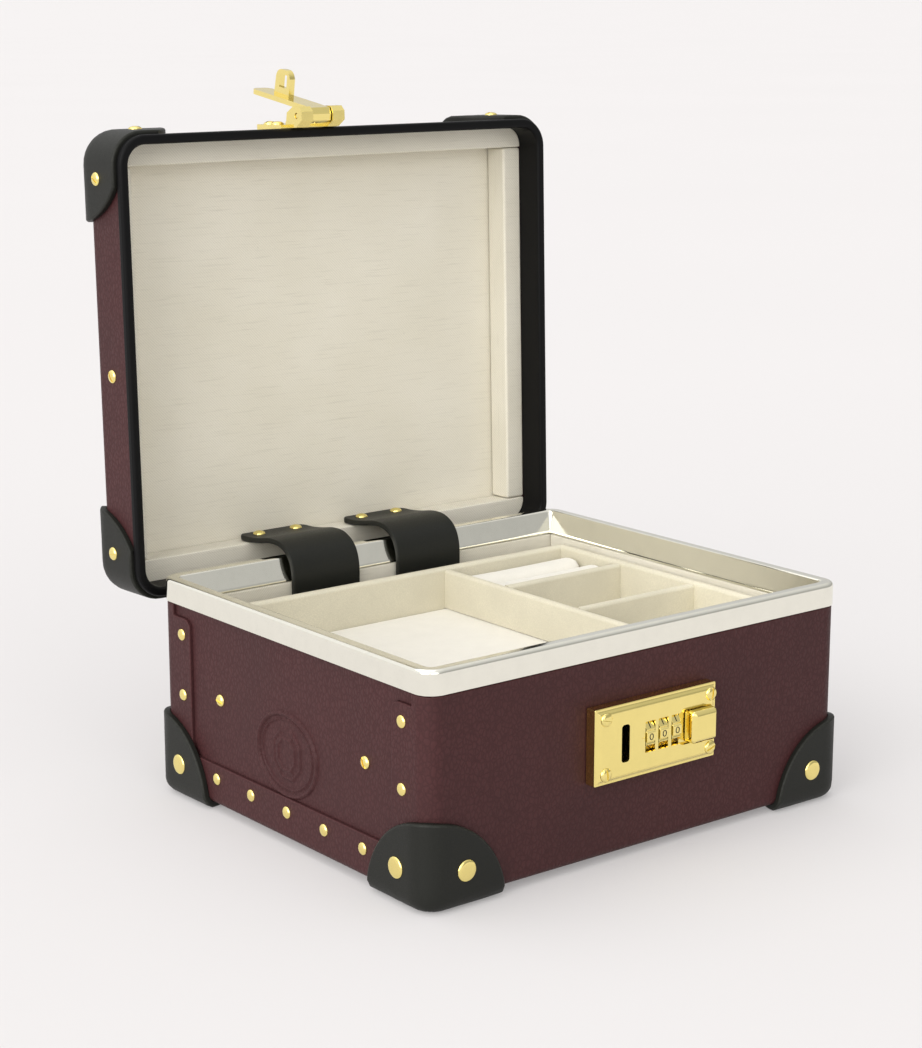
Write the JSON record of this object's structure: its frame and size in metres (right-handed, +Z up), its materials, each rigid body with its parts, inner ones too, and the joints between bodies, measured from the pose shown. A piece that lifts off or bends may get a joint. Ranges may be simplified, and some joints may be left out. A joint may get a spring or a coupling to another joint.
{
  "type": "jewellery case",
  "caption": "Small leather jewellery case with a hinged lid, metal rim, lift-out tray, combination lock and hasp; shown open.",
  "frame": {"origin": "under the middle of the whole open case, at the level of the surface that it stands on", "axes": "+Z up, -Y towards the front with the lock, +X to the right seen from the front"},
  "size_m": [0.2126, 0.2314, 0.2772],
  "materials": {
    "burgundy_fibre": "pressed grain, low sheen",
    "black_leather": "smooth waxed",
    "cream_leather": "fine pebbled grain",
    "linen": "woven twill",
    "suede": "brushed nap",
    "nickel": "polished",
    "brass": "polished"
  },
  "bodies": {
    "base": {"base_wrap": "burgundy_fibre", "base_end_left": "burgundy_fibre", "base_end_right": "burgundy_fibre", "base_corner_front_left": "black_leather", "base_corner_front_right": "black_leather", "base_corner_back_left": "black_leather", "base_corner_back_right": "black_leather", "strap_left": "black_leather", "strap_right": "black_leather", "base_floor": "linen", "base_liner_front": "linen", "base_liner_back": "linen", "base_liner_left": "linen", "base_liner_right": "linen", "tray_ledge_left": "linen", "tray_ledge_right": "linen", "rim": "nickel", "lock_axle": "nickel", "hinge_left_base": "nickel", "hinge_left_pin": "nickel", "hinge_right_base": "nickel", "hinge_right_pin": "nickel", "lock_plate": "brass", "lock_housing": "brass", "lock_screw_1": "brass", "lock_screw_2": "brass", "lock_screw_3": "brass", "lock_screw_4": "brass"},
    "lid": {"lid_shell": "burgundy_fibre", "lid_trim": "black_leather", "lid_liner_front": "linen", "lid_liner_back": "linen", "lid_liner_left": "linen", "lid_liner_right": "linen", "lid_panel": "linen", "lid_corner_front_left": "black_leather", "lid_corner_front_right": "black_leather", "lid_corner_back_left": "black_leather", "lid_corner_back_right": "black_leather", "hinge_left_lid": "nickel", "hinge_right_lid": "nickel", "hasp_bracket": "brass", "hasp_pin": "brass"},
    "hasp": {"hasp_leaf": "brass"},
    "wheel_1": {"lock_wheel_1": "brass"},
    "wheel_2": {"lock_wheel_2": "brass"},
    "wheel_3": {"lock_wheel_3": "brass"},
    "button": {"lock_button": "brass", "lock_bolt": "brass"},
    "tray": {"tray_body": "cream_leather", "tray_divider_long": "cream_leather", "tray_divider_cross_1": "cream_leather", "tray_divider_cross_2": "cream_leather", "tray_floor_pad": "suede", "ring_roll_1": "suede", "ring_roll_2": "suede"}
  },
  "joints": [
    {"name": "lid_hinge", "type": "hinge", "parent": "base", "child": "lid", "pos_m": [0, 0.0708, 0.0736], "axis": [-1, 0, 0], "range_deg": [-91.5, 0], "deforming": ["strap_left", "strap_right"]},
    {"name": "hasp_hinge", "type": "hinge", "parent": "lid", "child": "hasp", "pos_m": [-0.0156, 0.07408, 0.25978], "axis": [-1, 0, 0], "range_deg": [-170, 0]},
    {"name": "wheel_1_spin", "type": "hinge", "parent": "base", "child": "wheel_1", "pos_m": [-0.0037, -0.1054, 0.0467], "axis": [1, 0, 0], "continuous": true},
    {"name": "wheel_2_spin", "type": "hinge", "parent": "base", "child": "wheel_2", "pos_m": [0.0027, -0.1054, 0.0467], "axis": [1, 0, 0], "continuous": true},
    {"name": "wheel_3_spin", "type": "hinge", "parent": "base", "child": "wheel_3", "pos_m": [0.0091, -0.1054, 0.0467], "axis": [1, 0, 0], "continuous": true},
    {"name": "button_slide", "type": "slide", "parent": "base", "child": "button", "axis": [-1, 0, 0], "range_m": [0, 0.003]},
    {"name": "tray_lift", "type": "slide", "parent": "base", "child": "tray", "axis": [0, 0, 1], "range_m": [0, 0.02]}
  ]
}
